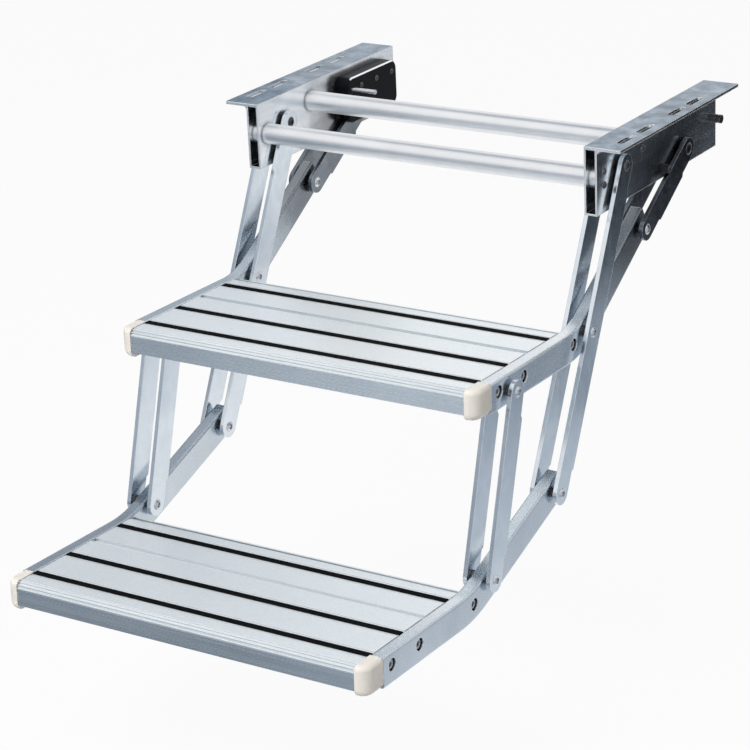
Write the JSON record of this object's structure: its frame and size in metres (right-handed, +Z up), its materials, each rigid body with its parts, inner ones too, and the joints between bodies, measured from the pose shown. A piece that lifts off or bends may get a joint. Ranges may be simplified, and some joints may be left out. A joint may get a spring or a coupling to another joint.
{
  "type": "folding vehicle entry step",
  "caption": "Folding entry step with flanged mounting brackets, cross tubes, parallel arms and ribbed treads",
  "frame": {"origin": "on the mounting flanges' top plane, midway between the brackets, at the middle of the slot pattern", "axes": "+X to the right seen from in front, +Y to the rear under the vehicle, +Z up"},
  "size_m": [0.531, 0.8245, 0.4529],
  "materials": {
    "satin_aluminium": "satin, drawn",
    "bracket_aluminium": "satin",
    "bar_aluminium": "satin",
    "link_aluminium": "satin, dark",
    "bright_steel": "bright zinc",
    "dark_steel": "blackened",
    "strip_rubber": "matt, ribbed",
    "buffer_rubber": "matt",
    "cap_nylon": "satin ivory",
    "bush_nylon": "matt",
    "unit_plastic": "matt black"
  },
  "bodies": {
    "mounting_frame": {"bracket_bushes": "bush_nylon", "cross_tube_screws": "bright_steel", "drive_unit_case": "unit_plastic", "drive_unit_cover": "unit_plastic", "drive_unit_rod": "bright_steel", "drive_unit_screws": "dark_steel", "front_cross_tube": "satin_aluminium", "grooved_posts": "dark_steel", "left_bracket": "bracket_aluminium", "rear_cross_tube": "satin_aluminium", "right_bracket": "bracket_aluminium", "shaft_bearings": "bush_nylon", "stop_buffers": "buffer_rubber", "stop_pins": "dark_steel"},
    "long_arms": {"bottom_pivot_pins": "bright_steel", "left_inner_long_arm": "bar_aluminium", "left_outer_long_arm": "bar_aluminium", "middle_pivot_pins": "bright_steel", "right_inner_long_arm": "bar_aluminium", "right_outer_long_arm": "bar_aluminium", "top_pivot_pins": "bright_steel"},
    "upper_step": {"link_pin_cores": "bright_steel", "upper_front_strip": "strip_rubber", "upper_left_cap": "cap_nylon", "upper_left_rail": "satin_aluminium", "upper_middle_strip": "strip_rubber", "upper_pivot_bushes": "bush_nylon", "upper_rear_strip": "strip_rubber", "upper_right_cap": "cap_nylon", "upper_right_rail": "satin_aluminium", "upper_tread": "satin_aluminium", "upper_tread_screws": "dark_steel"},
    "lower_step": {"lower_front_strip": "strip_rubber", "lower_left_cap": "cap_nylon", "lower_left_rail": "satin_aluminium", "lower_middle_strip": "strip_rubber", "lower_pivot_bushes": "bush_nylon", "lower_rear_strip": "strip_rubber", "lower_right_cap": "cap_nylon", "lower_right_rail": "satin_aluminium", "lower_tread": "satin_aluminium", "lower_tread_screws": "dark_steel", "short_arm_pin_cores": "bright_steel"},
    "short_arms": {"left_inner_short_arm": "bar_aluminium", "left_outer_short_arm": "bar_aluminium", "right_inner_short_arm": "bar_aluminium", "right_outer_short_arm": "bar_aluminium", "short_arm_pins": "bright_steel", "short_arm_studs": "bright_steel"},
    "drive_links": {"drive_shaft": "bright_steel", "left_inner_link": "link_aluminium", "left_outer_link": "link_aluminium", "link_studs": "dark_steel", "right_inner_link": "link_aluminium", "right_outer_link": "link_aluminium", "shaft_end_screws": "dark_steel"}
  },
  "joints": [
    {"name": "long_arm_fold", "type": "hinge", "parent": "mounting_frame", "child": "long_arms", "pos_m": [0, -0.0755, -0.0347], "axis": [1, 0, 0], "range_deg": [0, 75]},
    {"name": "upper_step_pivot", "type": "hinge", "parent": "long_arms", "child": "upper_step", "pos_m": [0, -0.1619, -0.2065], "axis": [1, 0, 0], "range_deg": [-77.96, 0]},
    {"name": "lower_step_pivot", "type": "hinge", "parent": "long_arms", "child": "lower_step", "pos_m": [0, -0.2428, -0.3732], "axis": [1, 0, 0], "range_deg": [-85, 0]},
    {"name": "short_arm_pivot", "type": "hinge", "parent": "upper_step", "child": "short_arms", "pos_m": [0, -0.337, -0.2165], "axis": [1, 0, 0], "range_deg": [0, 68.59]},
    {"name": "drive_shaft_turn", "type": "hinge", "parent": "mounting_frame", "child": "drive_links", "pos_m": [0, 0.085, -0.0579], "axis": [1, 0, 0], "range_deg": [0, 134.51]}
  ],
  "couplings": [
    {"joint": "upper_step_pivot", "follows": "long_arm_fold", "ratio": -1.0394},
    {"joint": "lower_step_pivot", "follows": "long_arm_fold", "ratio": -1.1332},
    {"joint": "short_arm_pivot", "follows": "long_arm_fold", "ratio": 0.91446},
    {"joint": "drive_shaft_turn", "follows": "long_arm_fold", "ratio": 1.7933}
  ]
}
